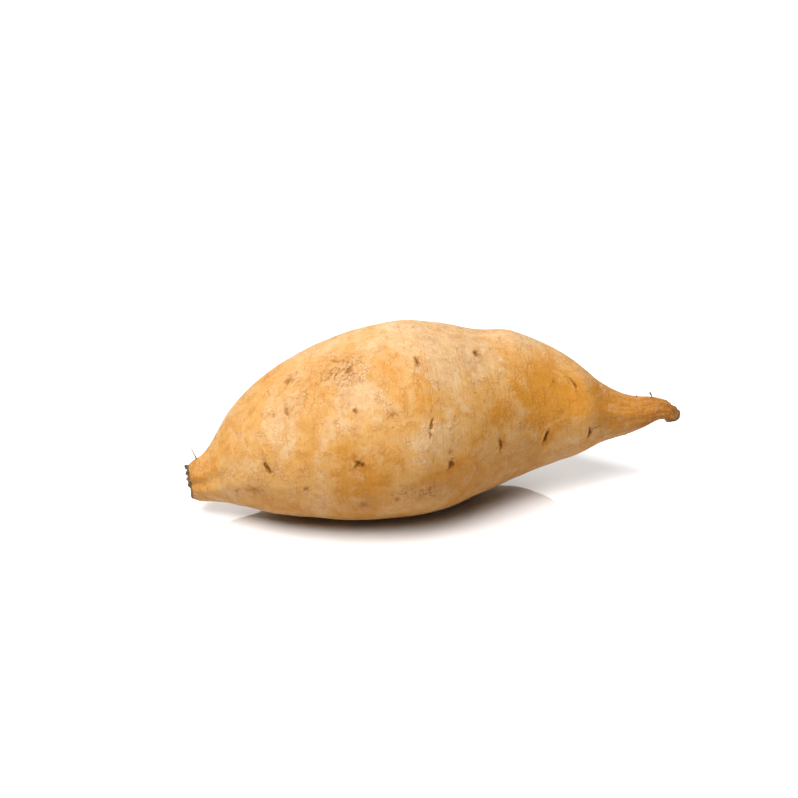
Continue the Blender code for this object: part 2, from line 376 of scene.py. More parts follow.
def ringLines():  # share and inset of each ring of points, both ends closed
    length = rootSpec["length"]
    stemEnd, tailStart = skinSpec["stemPart"] / length, 1 - skinSpec["tailPart"] / length
    counts = [round(span / gap) for span, gap in (
        (skinSpec["stemPart"], skinSpec["gapStem"]),
        (length * (tailStart - stemEnd), skinSpec["gapBody"]),
        (skinSpec["tailPart"], skinSpec["gapTail"]))]
    shares = np.concatenate([np.linspace(0, stemEnd, counts[0], endpoint=False),
                             np.linspace(stemEnd, tailStart, counts[1], endpoint=False),
                             np.linspace(tailStart, 1 - skinSpec["tipRound"], counts[2])])
    cap = np.linspace(0, 1, 9)[1:]
    capShares = 1 - skinSpec["tipRound"] + skinSpec["tipRound"] * np.sin(cap * math.pi / 2)
    lines = [(0.0, inset) for inset in (0.0, 0.35, 0.7, 0.92)]
    lines += [(share, 1.0) for share in shares]
    lines += [(share, math.cos(c * math.pi / 2)) for share, c in zip(capShares, cap)]
    lines[-1] = (1.0, 0.0)
    return np.array(lines)


def turnGap(angle, centre):
    return (angle - centre + 180) % 360 - 180


def localGap(share, angle, centreShare, centreAngle):  # mm along and mm around from a place on the skin
    radius = float(reachAt(centreShare, centreAngle))
    along = (share - centreShare) * rootSpec["length"] / mm
    return along, np.radians(turnGap(angle, centreAngle)) * radius / mm


def noiseOf(points, seed):
    shift = Vector((seed * 17.3, seed * 5.1, seed * 9.7))
    return np.array([noise.noise(Vector(p) + shift) for p in points])


def makeSkinSheet(lines, eyes):  # a flat sheet of cells, finer round each eye
    sides = skinSpec["sides"]
    bm = bmesh.new()
    bmesh.ops.create_grid(bm, x_segments=len(lines) - 1, y_segments=sides, size=0.5)
    last = len(lines) - 1

    def shareOf(x):
        return np.interp((x + 0.5) * last, np.arange(len(lines)), lines[:, 0])

    for spread, extra in ((1.5, 1.6), (1.05, 0.6)):
        faces = [f for f in bm.faces]
        centres = np.array([f.calc_center_median()[:2] for f in faces])
        share, angle = shareOf(centres[:, 0]), 360 * centres[:, 1]
        near = np.zeros(len(faces), bool)
        for eye in eyes:
            along, around = localGap(share, angle, eye[0], eye[1])
            near |= (along / (2.2 * eye[3] + extra)) ** 2 + (around / (spread * eye[2] + extra)) ** 2 < 1
        edges = {e for f, wanted in zip(faces, near) if wanted for e in f.edges}
        bmesh.ops.subdivide_edges(bm, edges=list(edges), cuts=1, use_grid_fill=True)
    return bm


def eyeRelief(share, angle, eyes):
    lift = np.zeros(len(share))
    nearest = np.full(len(share), 1e9)
    shape = np.full((len(share), 2), 9.0)
    stain = np.full(len(share), 9.0)
    dark = np.zeros(len(share))
    for e, (atShare, atAngle, halfLength, halfWidth, tilt, depth, stainReach) in enumerate(eyes):
        along, around = localGap(share, angle, atShare, atAngle)
        c, s = math.cos(math.radians(tilt)), math.sin(math.radians(tilt))
        q = (along * s + around * c) / halfLength
        p = (along * c - around * s) / halfWidth + (0.5 if e % 2 else -0.4) * q * q
        pit = np.exp(-1.3 * (p * p) - 0.9 * q ** 4)
        lips = np.exp(-((p + 2.1) / 1.2) ** 2) + 0.55 * np.exp(-((p - 2.2) / 1.4) ** 2)
        lift += depth * mm * (skinSpec["eyeLip"] * lips * np.exp(-0.8 * q * q) - pit)
        lift -= skinSpec["eyeCrease"] * np.exp(-(p / 2.5) ** 2 - (q / 2.1) ** 2)
        far = along ** 2 + around ** 2
        closer = far < nearest
        nearest[closer] = far[closer]
        shape[closer] = np.stack([p, q], 1)[closer]
        stain[closer] = (np.sqrt(far) / stainReach)[closer]
        dark[closer] = min(1.0, depth / 0.75)
    near = 1 - smoothStep(np.sqrt(nearest), *skinSpec["eyeFade"])
    return lift, shape, stain, near * dark


def spotsOf(share, angle, spots):
    total = np.zeros(len(share))
    for spot in spots:
        along, around = localGap(share, angle, spot[0], spot[1])
        reachAlong, reachAround = (spot[2], spot[2]) if len(spot) == 4 else spot[2:4]
        total += spot[-1] * np.exp(-(along / reachAlong) ** 2 - (around / reachAround) ** 2)
    return total


def hookOf(share):  # the last of the tail bends down a little more
    start = skinSpec["tipDroopStart"]
    t = np.clip((np.asarray(share, float) - start) / (1 - start), 0, 1) ** 1.4
    rise = skinSpec["tipLift"] * smoothStep(share, *skinSpec["tipLiftRange"])
    return np.stack([skinSpec["tipReach"] * t, 0 * t, rise - skinSpec["tipDroop"] * t], -1)


def makeSkin():
    lines, eyes = ringLines(), fullEyes()
    bm = makeSkinSheet(lines, eyes)
    flat = np.array([v.co[:2] for v in bm.verts])
    row = (flat[:, 0] + 0.5) * (len(lines) - 1)
    share = np.interp(row, np.arange(len(lines)), lines[:, 0])
    inset = np.interp(row, np.arange(len(lines)), lines[:, 1])
    angle = 180 + 360 * (flat[:, 1] + 0.5)
    turn = np.radians(angle)

    plain = skinPlace(share, angle, 0.0, inset)
    along = (share * rootSpec["length"]) / mm
    wrap = plain / mm
    ringWay = np.stack([np.cos(turn), np.sin(turn)], 1)
    tail = smoothStep(share, *skinSpec["tailFrom"])
    tip = smoothStep(share, *skinSpec["tipFrom"])
    stem = 1 - smoothStep(share, *skinSpec["stemTo"])
    lift, eyeShape, eyeStain, eyeNear = eyeRelief(share, angle, eyes)
    scuff = np.clip(spotsOf(share, angle, scuffs), 0, 1)
    lift += skinSpec["lump"] * noiseOf(wrap / skinSpec["lumpWide"], 1) * (1 - tail)
    lift += skinSpec["dimple"] * noiseOf(wrap / skinSpec["dimpleWide"], 2) * (1 - tip)
    lengthwise = np.column_stack([along / skinSpec["furrowLong"], skinSpec["furrowsRound"] * ringWay])
    lift += skinSpec["tailFurrow"] * noiseOf(lengthwise, 3) * tail
    lift += skinSpec["stemFurrow"] * noiseOf(lengthwise * (1.2, 1.3, 1.3), 4) * stem
    lift += skinSpec["tipKnob"] * noiseOf(plain / (skinSpec["knobWide"] * mm), 5) * tip
    lift -= skinSpec["scuffPit"] * scuff * np.abs(noiseOf(wrap / skinSpec["scuffPitWide"], 6))
    lift += skinSpec["tipBulge"] * smoothStep(share, *skinSpec["tipBulgeRange"])
    lift *= smoothStep(inset, 0.3, 1.0)

    places = skinPlace(share, angle, lift, inset)
    places += hookOf(share)
    places[:, 2] = np.maximum(places[:, 2], 0.0)  # lies flat on the rest spot

    uv = bm.loops.layers.uv.new("OFBake")
    for face in bm.faces:
        for loop in face.loops:
            loop[uv].uv = (loop.vert.co.x + 0.5, loop.vert.co.y + 0.5)
    values = {"along": share, "scuff": scuff, "tone": spotsOf(share, angle, toneAndPaintedLightPatches),
              "eyeStain": np.minimum(eyeStain, 9), "eyeNear": eyeNear,
              "eyeAcross": np.clip(eyeShape[:, 0], -20, 20),
              "eyeLengthwise": np.clip(eyeShape[:, 1], -20, 20)}
    layers = {name: bm.verts.layers.float.new(name) for name in values}
    wrapLayer = bm.verts.layers.float_vector.new("wrap")
    for k, vert in enumerate(bm.verts):
        vert.co = places[k]
        vert[wrapLayer] = wrap[k]
        for name, layer in layers.items():
            vert[layer] = values[name][k]
    bmesh.ops.remove_doubles(bm, verts=bm.verts, dist=1e-6)
    bmesh.ops.dissolve_degenerate(bm, edges=bm.edges, dist=1e-7)
    bmesh.ops.recalc_face_normals(bm, faces=bm.faces)
    for face in bm.faces:
        face.smooth = True
    return meshObject("sweetPotatoSkin", bm)


def meshObject(name, bm):
    mesh = bpy.data.meshes.new(name)
    bm.to_mesh(mesh)
    bm.free()
    made = bpy.data.objects.new(name, mesh)
    bpy.context.scene.collection.objects.link(made)
    return made


skinLook = {
    "cream": (0.46, 0.300, 0.148), "tan": (0.44, 0.240, 0.074), "ochre": (0.400, 0.172, 0.022),
    "rust": (0.29, 0.100, 0.010), "brown": (0.205, 0.078, 0.009), "pit": (0.150, 0.046, 0.003),
    "dust": (0.29, 0.150, 0.062), "bloom": (0.49, 0.345, 0.20), "tipBrown": (0.115, 0.066, 0.030),
    # the last colour is a painted highlight for the lips of the root eyes
    "lipHighlightGold": (0.47, 0.280, 0.085),
}


def skinMaterial():
    material, tree, shader = newMaterial("sweetPotatoSkin", {
        "Subsurface Weight": 0.08, "Subsurface Radius": (1.0, 0.45, 0.2), "Subsurface Scale": 0.003,
        "IOR": 1.43, "Specular IOR Level": 0.13})
    look = skinLook
    wrap = attribute(tree, "wrap", "Vector")
    along, scuff, near = attribute(tree, "along"), attribute(tree, "scuff"), attribute(tree, "eyeNear")

    # warm and creamy patches, with a painted highlight over the top and painted shade on the lower front
    drift = useGroup(tree, cloudTone, {"Vector": wrap, "Scale": 0.055, "Detail": 5.0, "Bend": 0.8,
                                       "Low": 0.22, "High": 0.78})
    blotch = useGroup(tree, cloudTone, {"Vector": wrap, "Scale": 0.13, "Detail": 4.0, "Bend": 1.2,
                                        "Low": 0.30, "High": 0.70})
    tone = calc(tree, "ADD", calc(tree, "MULTIPLY", drift, 0.6), calc(tree, "MULTIPLY", blotch, 0.4))
    # the tone attribute brings in the listed patches, the painted highlight and painted shade among them
    tone = calc(tree, "ADD", tone, calc(tree, "MULTIPLY", attribute(tree, "tone"), 0.55))
    colour = tint(tree, remap(tree, tone, 0.08, 0.52), look["cream"], look["tan"])
    colour = tint(tree, remap(tree, tone, 0.50, 1.05), colour, look["ochre"])

    # mottling a few millimetres wide, and a pale bloom over it
    mottle = useGroup(tree, cloudTone, {"Vector": wrap, "Scale": 0.30, "Detail": 5.0, "Bend": 0.4,
                                        "Low": 0.40, "High": 0.72})
    colour = tint(tree, calc(tree, "MULTIPLY", mottle, 0.30), colour, look["rust"])
    bloom = useGroup(tree, cloudTone, {"Vector": wrap, "Scale": 0.14, "Detail": 7.0, "Bend": 1.1,
                                       "Low": 0.53, "High": 0.74})
    colour = tint(tree, calc(tree, "MULTIPLY", bloom, 0.42), colour, look["bloom"])

    # faint lines that run round the root, and lengthwise ones at its two ends
    hoops = useGroup(tree, fineStreaks, {"Vector": wrap, "Stretch": (0.90, 0.06, 0.06),
                                         "Low": 0.50, "High": 0.70})
    colour = tint(tree, calc(tree, "MULTIPLY", hoops, 0.16), colour, look["rust"])
    fibres = useGroup(tree, fineStreaks, {"Vector": wrap, "Stretch": (0.09, 0.85, 0.85),
                                          "Low": 0.42, "High": 0.64})
    tailEnd, stemEnd = remap(tree, along, 0.74, 0.90), remap(tree, along, 0.02, 0.10, 0.40, 0)
    fibreMask = calc(tree, "MULTIPLY", fibres, calc(tree, "ADD", tailEnd, stemEnd, clamp=True))
    colour = tint(tree, calc(tree, "MULTIPLY", fibreMask, 0.50), colour, look["rust"])

    # a net of fine lines, broken up
    bent = addNode(tree, "TexNoise", {"Vector": wrap, "Scale": 0.5, "Detail": 3.0}).outputs["Color"]
    bent = addNode(tree, "VectorMath", {0: bent, "Scale": 2.6}, operation="SCALE").outputs[0]
    bent = addNode(tree, "VectorMath", {0: wrap, 1: bent}, operation="ADD").outputs[0]
    cells = addNode(tree, "TexVoronoi", {"Vector": bent, "Scale": 0.55, "Randomness": 1.0},
                    feature="DISTANCE_TO_EDGE").outputs["Distance"]
    broken = useGroup(tree, cloudTone, {"Vector": wrap, "Scale": 0.22, "Detail": 5.0, "Bend": 0.5,
                                        "Low": 0.46, "High": 0.64})
    netLines = calc(tree, "MULTIPLY", remap(tree, cells, 0.0, 0.14, 1, 0), broken)
    colour = tint(tree, calc(tree, "MULTIPLY", netLines, 0.42), colour, look["rust"])

    # specks, over a fine grain
    fine = useGroup(tree, cloudTone, {"Vector": wrap, "Scale": 1.1, "Detail": 5.0, "Bend": 0.4,
                                      "Low": 0.42, "High": 0.66})
    colour = tint(tree, calc(tree, "MULTIPLY", fine, 0.20), colour, look["rust"])
    fleck = useGroup(tree, drySpeckle, {"Vector": wrap, "Scale": 0.55, "Size": 0.17, "Filled": 0.34})
    dust = useGroup(tree, drySpeckle, {"Vector": wrap, "Scale": 1.5, "Size": 0.27, "Filled": 0.30})
    hoopwise = scaled(tree, wrap, (1.0, 0.22, 0.22))
    nick = useGroup(tree, drySpeckle, {"Vector": hoopwise, "Scale": 0.75, "Size": 0.13, "Filled": 0.30})
    flecks = calc(tree, "MAXIMUM", calc(tree, "MULTIPLY", fleck, 0.75), calc(tree, "MULTIPLY", dust, 0.42))
    flecks = calc(tree, "MAXIMUM", flecks, calc(tree, "MULTIPLY", nick, 0.60))
    patchy = useGroup(tree, cloudTone, {"Vector": wrap, "Scale": 0.09, "Detail": 3.0, "Bend": 0.6,
                                        "Low": 0.42, "High": 0.62})
    amount = calc(tree, "ADD", calc(tree, "MULTIPLY", patchy, 0.8), calc(tree, "MULTIPLY", scuff, 1.0))
    amount = calc(tree, "ADD", amount, 0.16, clamp=True)
    flecks = calc(tree, "MULTIPLY", flecks, amount)
    colour = tint(tree, flecks, colour, look["brown"])

    # scuffed places: dusty, with short dark cracks
    grit = useGroup(tree, cloudTone, {"Vector": wrap, "Scale": 0.75, "Detail": 6.0, "Bend": 0.3,
                                      "Low": 0.38, "High": 0.66})
    dusty = calc(tree, "MULTIPLY", scuff, calc(tree, "ADD", calc(tree, "MULTIPLY", grit, 0.65), 0.15))
    colour = tint(tree, dusty, colour, look["dust"])
    net = addNode(tree, "TexVoronoi", {"Vector": bent, "Scale": 0.40, "Randomness": 1.0},
                  feature="DISTANCE_TO_EDGE").outputs["Distance"]
    crack = calc(tree, "MULTIPLY", remap(tree, net, 0.0, 0.13, 1, 0), calc(tree, "MULTIPLY", scuff, grit))
    colour = tint(tree, calc(tree, "MULTIPLY", crack, 0.80), colour, look["brown"])

    # the two ends
    rusty = remap(tree, along, 0.84, 0.975)
    rusty = calc(tree, "MULTIPLY", rusty, remap(tree, drift, 0.0, 0.9, 0.55, 1.0))
    colour = tint(tree, calc(tree, "MULTIPLY", rusty, 0.85), colour, look["rust"])
    gnarl = useGroup(tree, cloudTone, {"Vector": wrap, "Scale": 0.42, "Detail": 5.0, "Bend": 0.6,
                                       "Low": 0.30, "High": 0.62})
    tailMottle = calc(tree, "MULTIPLY", gnarl, remap(tree, along, 0.87, 0.955))
    colour = tint(tree, calc(tree, "MULTIPLY", tailMottle, 0.50), colour, look["brown"])
    paleMottle = calc(tree, "MULTIPLY", remap(tree, grit, 0.30, 0.90), remap(tree, along, 0.85, 0.93))
    colour = tint(tree, calc(tree, "MULTIPLY", paleMottle, 0.16), colour, look["bloom"])
    tip = remap(tree, along, 0.970, 0.999)
    tip = calc(tree, "MULTIPLY", tip, calc(tree, "ADD", gnarl, 0.15), clamp=True)
    colour = tint(tree, tip, colour, look["tipBrown"])
    neck = remap(tree, along, 0.0, 0.030, 1, 0)
    neck = calc(tree, "MULTIPLY", neck, calc(tree, "ADD", gnarl, 0.1), clamp=True)
    colour = tint(tree, calc(tree, "MULTIPLY", neck, 0.45), colour, look["brown"])

    # root eyes: a stain with a broken edge, a dark slit in it, and a painted highlight along one raised lip
    wobble = addNode(tree, "TexNoise", {"Vector": wrap, "Scale": 0.9, "Detail": 6.0, "Roughness": 0.68})
    wobble = calc(tree, "SUBTRACT", wobble.outputs["Fac"], 0.5)
    stainEdge = calc(tree, "ADD", attribute(tree, "eyeStain"), calc(tree, "MULTIPLY", wobble, 2.0))
    stain = calc(tree, "MULTIPLY", remap(tree, stainEdge, 0.05, 1.05, 1, 0), near)
    colour = tint(tree, calc(tree, "MULTIPLY", stain, 0.60), colour, look["rust"])
    across, lengthwise = attribute(tree, "eyeAcross"), attribute(tree, "eyeLengthwise")
    slitFar = calc(tree, "ADD", calc(tree, "MULTIPLY", across, across),
                   calc(tree, "MULTIPLY", lengthwise, lengthwise))
    slitEdge = calc(tree, "ADD", calc(tree, "SQRT", slitFar), calc(tree, "MULTIPLY", wobble, 4.2))
    halo = calc(tree, "MULTIPLY", remap(tree, slitEdge, 0.5, 2.3, 1, 0), near)
    colour = tint(tree, calc(tree, "MULTIPLY", halo, 0.62), colour, look["brown"])
    crumb = useGroup(tree, cloudTone, {"Vector": wrap, "Scale": 1.5, "Detail": 3.0, "Bend": 0.3,
                                       "Low": 0.34, "High": 0.58})
    slit = calc(tree, "MULTIPLY", remap(tree, slitEdge, 0.35, 1.2, 1, 0), near)
    slit = calc(tree, "MULTIPLY", slit, calc(tree, "ADD", calc(tree, "MULTIPLY", crumb, 0.75), 0.25))
    colour = tint(tree, calc(tree, "MULTIPLY", slit, 0.90), colour, look["pit"])
    # painted highlight: a pale gold glint along the lip on one side of each slit
    paintedLipHighlight = remap(tree, calc(tree, "ABSOLUTE", calc(tree, "ADD", across, 2.3)), 0.2, 1.3, 1, 0)
    paintedLipHighlight = calc(tree, "MULTIPLY", paintedLipHighlight, remap(tree, calc(tree, "ABSOLUTE", lengthwise), 0.5, 1.3, 1, 0))
    paintedLipHighlight = calc(tree, "MULTIPLY", calc(tree, "MULTIPLY", paintedLipHighlight, near), crumb)
    colour = tint(tree, calc(tree, "MULTIPLY", paintedLipHighlight, 0.65), colour, look["lipHighlightGold"])
    specks = useGroup(tree, drySpeckle, {"Vector": wrap, "Scale": 1.25, "Size": 0.30, "Filled": 0.45})
    specks = calc(tree, "MULTIPLY", specks, remap(tree, attribute(tree, "eyeStain"), 0.25, 1.25, 1, 0))
    specks = calc(tree, "MULTIPLY", specks, remap(tree, near, 0.0, 0.3))
    colour = tint(tree, calc(tree, "MULTIPLY", specks, 0.70), colour, look["brown"])
    tree.links.new(colour, shader.inputs["Base Color"])

    # satin, dull in the pits and where it is dusty
    rough = remap(tree, mottle, 0, 1, 0.44, 0.52)
    dull = calc(tree, "MAXIMUM", calc(tree, "MAXIMUM", slit, dusty), calc(tree, "MAXIMUM", tip, neck))
    rough = calc(tree, "ADD", rough, calc(tree, "MULTIPLY", dull, 0.30))
    rough = calc(tree, "ADD", rough, calc(tree, "MULTIPLY", bloom, 0.08), clamp=True)
    tree.links.new(rough, shader.inputs["Roughness"])

    grain = addNode(tree, "TexNoise", {"Vector": wrap, "Scale": 1.5, "Detail": 5.0, "Roughness": 0.6})
    normal = bumpOf(tree, broken, 0.30 * mm, 0.5)
    normal = bumpOf(tree, grain.outputs["Fac"], 0.22 * mm, 0.75, normal)
    normal = bumpOf(tree, netLines, -0.12 * mm, 0.8, normal)
    normal = bumpOf(tree, hoops, -0.06 * mm, 0.8, normal)
    normal = bumpOf(tree, fibreMask, -0.16 * mm, 0.9, normal)
    normal = bumpOf(tree, flecks, -0.12 * mm, 0.8, normal)
    normal = bumpOf(tree, calc(tree, "ADD", crack, slit), -0.25 * mm, 0.9, normal)
    normal = bumpOf(tree, tip, 0.25 * mm, 0.9, normal)
    tree.links.new(normal, shader.inputs["Normal"])
    return material


skin = makeSkin()
skin.data.materials.append(skinMaterial())
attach(skin, "root")
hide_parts("sweet_potato")
print("skin:", len(skin.data.polygons), "faces")


# the dried face where the root was cut from its stem
cutSpec = {
    "thickness": 0.35 * mm,   # half, the inner half is sunk in the root
    "rimRagged": 0.07,        # share of the radius
    "dish": 0.55 * mm, "rimRise": 0.35 * mm, "ridge": 0.28 * mm,
    "crust": 0.60 * mm,       # bark left standing along the upper rim
    "crustFrom": (-0.15, 0.25), "crustRing": (0.70, 0.93),
    "ringAt": 0.74,           # share of the radius where the vascular ring stands
    "rimAt": 0.96, "ringWide": 0.07,
    "spokes": 96, "rounds": 44,
}


def makeStemCut():
    up, front = ringAxes(0.0)
    out = up.cross(front)
    if out.x > 0:
        out = -out
    middle = Vector(root["middles"][0])
    bm = bmesh.new()
    bmesh.ops.create_uvsphere(bm, u_segments=cutSpec["spokes"], v_segments=cutSpec["rounds"], radius=1.0)
    radial = bm.verts.layers.float.new("cutRadius")
    crusted = bm.verts.layers.float.new("cutCrust")
    spoke = bm.verts.layers.float_vector.new("cutSpoke")
    for vert in bm.verts:
        turn = math.atan2(vert.co.y, vert.co.x)
        side = max(-1.0, min(1.0, vert.co.z))
        radius = (1 - side * side) ** 0.25
        ragged = noise.noise(Vector((3.1 * math.cos(turn), 3.1 * math.sin(turn), 0.4)))
        ragged += 0.6 * noise.noise(Vector((9 * math.cos(turn), 9 * math.sin(turn), 2.4)))
        far = float(reachAt(0.0, math.degrees(turn))) * radius * (1.0 + cutSpec["rimRagged"] * ragged)
        way = up * math.cos(turn) + front * math.sin(turn)
        place = way * far
        crust = float(smoothStep(math.cos(turn) + 0.5 * ragged, *cutSpec["crustFrom"]))
        crust *= float(smoothStep(radius, *cutSpec["crustRing"]))
        high = cutSpec["thickness"] * math.copysign(abs(side) ** 0.5, side)
        if side > 0:
            rays = noise.noise(Vector((7 * math.cos(turn), 7 * math.sin(turn), 1.5 * radius)))
            lumps = noise.noise(place * (1 / (1.1 * mm)))
            ring = math.exp(-((radius - cutSpec["ringAt"]) / cutSpec["ringWide"]) ** 2)
            rim = math.exp(-((radius - cutSpec["rimAt"]) / cutSpec["ringWide"]) ** 2)
            high += -cutSpec["dish"] * (1 - radius ** 2) ** 2 + cutSpec["rimRise"] * rim * (1 + ragged)
            high += cutSpec["ridge"] * (0.9 * rays * radius + 0.8 * lumps + 0.8 * ring * (0.6 + rays))
            high += cutSpec["crust"] * crust * max(0.0, 0.45 + 1.3 * lumps)
        vert.co = middle + place + out * high
        vert[radial] = radius
        vert[crusted] = crust
        vert[spoke] = (10 * math.cos(turn), 10 * math.sin(turn), 5 * radius)
    bmesh.ops.recalc_face_normals(bm, faces=bm.faces)
    for face in bm.faces:
        face.smooth = True
    return meshObject("driedStemCut", bm)


cutLook = {
    "bark": (0.14, 0.085, 0.055), "wood": (0.44, 0.270, 0.195), "core": (0.33, 0.190, 0.130),
    "ash": (0.46, 0.34, 0.28), "crust": (0.095, 0.054, 0.018), "moss": (0.22, 0.140, 0.052),
}


def cutMaterial():
    material, tree, shader = newMaterial("driedStemCut", {"Roughness": 0.9, "IOR": 1.4})
    look = cutLook
    spoke, radius = attribute(tree, "cutSpoke", "Vector"), attribute(tree, "cutRadius")
    place = scaled(tree, addNode(tree, "TexCoord").outputs["Object"], (1000, 1000, 1000))
    colour = tint(tree, remap(tree, radius, 0.35, 0.60), look["core"], look["wood"])
    colour = tint(tree, remap(tree, radius, 0.76, 0.90), colour, look["bark"])
    rays = useGroup(tree, fineStreaks, {"Vector": spoke, "Stretch": (0.9, 0.9, 0.12),
                                        "Low": 0.42, "High": 0.60})
    colour = tint(tree, calc(tree, "MULTIPLY", rays, 0.65), colour, look["bark"])
    vessels = useGroup(tree, drySpeckle, {"Vector": place, "Scale": 1.9, "Size": 0.30, "Filled": 0.45})
    colour = tint(tree, calc(tree, "MULTIPLY", vessels, 0.6), colour, look["bark"])
    mould = useGroup(tree, cloudTone, {"Vector": place, "Scale": 0.8, "Detail": 5.0, "Bend": 0.5,
                                       "Low": 0.52, "High": 0.70})
    colour = tint(tree, calc(tree, "MULTIPLY", mould, 0.45), colour, look["ash"])
    bark = tint(tree, mould, look["crust"], look["moss"])
    colour = tint(tree, attribute(tree, "cutCrust"), colour, bark)
    tree.links.new(colour, shader.inputs["Base Color"])
    tree.links.new(remap(tree, mould, 0, 1, 0.82, 0.96), shader.inputs["Roughness"])
    normal = bumpOf(tree, rays, -0.2 * mm, 0.9)
    normal = bumpOf(tree, vessels, -0.15 * mm, 0.8, normal)
    tree.links.new(normal, shader.inputs["Normal"])
    return material


stemCut = makeStemCut()
stemCut.data.materials.append(cutMaterial())
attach(stemCut, "root")
print("stem cut made")


# root hairs, and the fibres that fray from the stem cut
hairSpec = {
    "rimFibres": 52, "fibreLength": (0.6, 1.7), "fibreRadius": (0.12, 0.34),   # mm
    "points": 7, "sides": 7, "seed": 5,
    # share, degrees, length, radius at the root and at the end (mm), direction, curl along
    "hairs": (
        (0.944, -8, 2.2, 0.20, 0.44, (-0.35, 0.0, 1.0), -0.12),
        (0.917, -14, 0.9, 0.26, 0.18, (-0.1, 0.2, 1.0), 0.0),
        (0.018, -2, 4.4, 0.26, 0.17, (-0.30, 0.1, 1.0), -0.10),
        (0.026, 120, 1.2, 0.12, 0.06, (-0.4, -1.0, -0.4), 0.3),
        (0.955, -120, 2.6, 0.16, 0.06, (0.5, 0.8, -0.5), 0.5),
        (0.890, 175, 3.4, 0.17, 0.05, (0.7, -0.1, -1.0), 0.6),
        (0.848, -70, 1.4, 0.20, 0.12, (0.3, 1.0, 0.35), 0.2),
        (0.655, -150, 2.2, 0.18, 0.06, (0.6, 0.5, -0.9), 0.5),
        (0.350, -97, 1.5, 0.20, 0.10, (0.4, 1.0, -0.1), 0.3),
        (0.966, 40, 0.5, 0.20, 0.14, (0.2, -0.6, 0.8), 0.1),
    ),
    # a dry rootlet that lies on the skin beside a root eye
    "lying": ((0.800, 97.0), (0.804, 94.0), (0.811, 92.6), (0.818, 92.0), (0.826, 90.5)),
    "lyingRadius": 0.17,
}


def addTube(bm, spine, radii, sides):
    way = (spine[-1] - spine[0]).normalized()
    aside = way.orthogonal().normalized()
    rings = []
    for k, middle in enumerate(spine):
        ahead = (spine[min(k + 1, len(spine) - 1)] - spine[max(k - 1, 0)]).normalized()
        aside = (aside - ahead * aside.dot(ahead)).normalized()
        third = ahead.cross(aside)
        ring = []
        for j in range(sides):
            turn = 2 * math.pi * j / sides
            ring.append(bm.verts.new(middle + radii[k] * (aside * math.cos(turn) + third * math.sin(turn))))
        rings.append(ring)
    for low, high in zip(rings, rings[1:]):
        for j in range(sides):
            bm.faces.new((low[j], low[(j + 1) % sides], high[(j + 1) % sides], high[j]))
    bm.faces.new(rings[0][::-1])
    bm.faces.new(rings[-1])


def growHair(bm, base, way, side, length, thick, thin, curl, draw):
    count = hairSpec["points"]
    spine, radii = [], []
    for k in range(count):
        t = k / (count - 1)
        wander = Vector([draw.uniform(-1, 1) for axis in range(3)]) * 0.03 * length
        spine.append(base + way * length * (t - 0.12) + side * curl * length * t * t + wander * t)
        radii.append(thick + (thin - thick) * t ** (2.5 if thin > thick else 0.8))
    addTube(bm, spine, radii, hairSpec["sides"])


def makeStemFibres():
    draw = random.Random(hairSpec["seed"])
    up, front = ringAxes(0.0)
    out = Vector((-1, 0, -0.1)).normalized()
    middle = Vector(root["middles"][0])
    bm = bmesh.new()
    for k in range(hairSpec["rimFibres"]):
        turn = 2 * math.pi * (k + draw.uniform(-0.4, 0.4)) / hairSpec["rimFibres"]
        way = up * math.cos(turn) + front * math.sin(turn)
        inner = draw.choice((0.99, 0.96, 0.93, 0.74))
        base = middle + way * float(reachAt(0.0, math.degrees(turn))) * inner
        lean = (out + way * draw.uniform(-0.2, 0.7)).normalized()
        upper = 0.45 + 0.55 * float(smoothStep(math.cos(turn), -0.2, 0.3))
        length = draw.uniform(*hairSpec["fibreLength"]) * mm * upper
        thick = draw.uniform(*hairSpec["fibreRadius"]) * mm * upper
        growHair(bm, base, lean, way, length, thick, thick * 0.35, draw.uniform(-0.3, 0.5), draw)
    return meshObject("stemFibres", bm)


def makeRootHairs():
    draw = random.Random(hairSpec["seed"] + 1)
    bm = bmesh.new()
    for share, angle, length, thick, thin, way, curl in hairSpec["hairs"]:
        base = Vector(skinPlace(share, angle) + hookOf(share))
        way, side = Vector(way).normalized(), Vector((1, 0, 0))
        growHair(bm, base, way, side, length * mm, thick * mm, thin * mm, curl, draw)
    spine = [Vector(skinPlace(share, angle, 0.05 * mm)) for share, angle in hairSpec["lying"]]
    thick = hairSpec["lyingRadius"] * mm
    addTube(bm, spine, [thick, thick, thick * 0.8, thick * 0.7, thick * 0.3], hairSpec["sides"])
    return meshObject("rootHairs", bm)


hairLook = {"dark": (0.105, 0.064, 0.034), "dry": (0.29, 0.20, 0.12)}


def hairMaterial():
    material, tree, shader = newMaterial("dryRootHair", {"Roughness": 0.85, "IOR": 1.4})
    place = scaled(tree, addNode(tree, "TexCoord").outputs["Object"], (1000, 1000, 1000))
    patches = useGroup(tree, cloudTone, {"Vector": place, "Scale": 0.9, "Detail": 4.0, "Bend": 0.3,
                                         "Low": 0.40, "High": 0.66})
    lines = useGroup(tree, fineStreaks, {"Vector": place, "Stretch": (1.2, 5, 5), "Low": 0.40, "High": 0.62})
    colour = tint(tree, patches, hairLook["dark"], hairLook["dry"])
    colour = tint(tree, calc(tree, "MULTIPLY", lines, 0.6), colour, hairLook["dark"])
    tree.links.new(colour, shader.inputs["Base Color"])
    tree.links.new(remap(tree, patches, 0, 1, 0.75, 0.92), shader.inputs["Roughness"])
    tree.links.new(bumpOf(tree, lines, 0.06 * mm, 0.8), shader.inputs["Normal"])
    return material


dryHair = hairMaterial()
for piece in (makeStemFibres(), makeRootHairs()):
    for face in piece.data.polygons:
        face.use_smooth = True
    piece.data.materials.append(dryHair)
    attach(piece, "root")
print("hairs and fibres made")


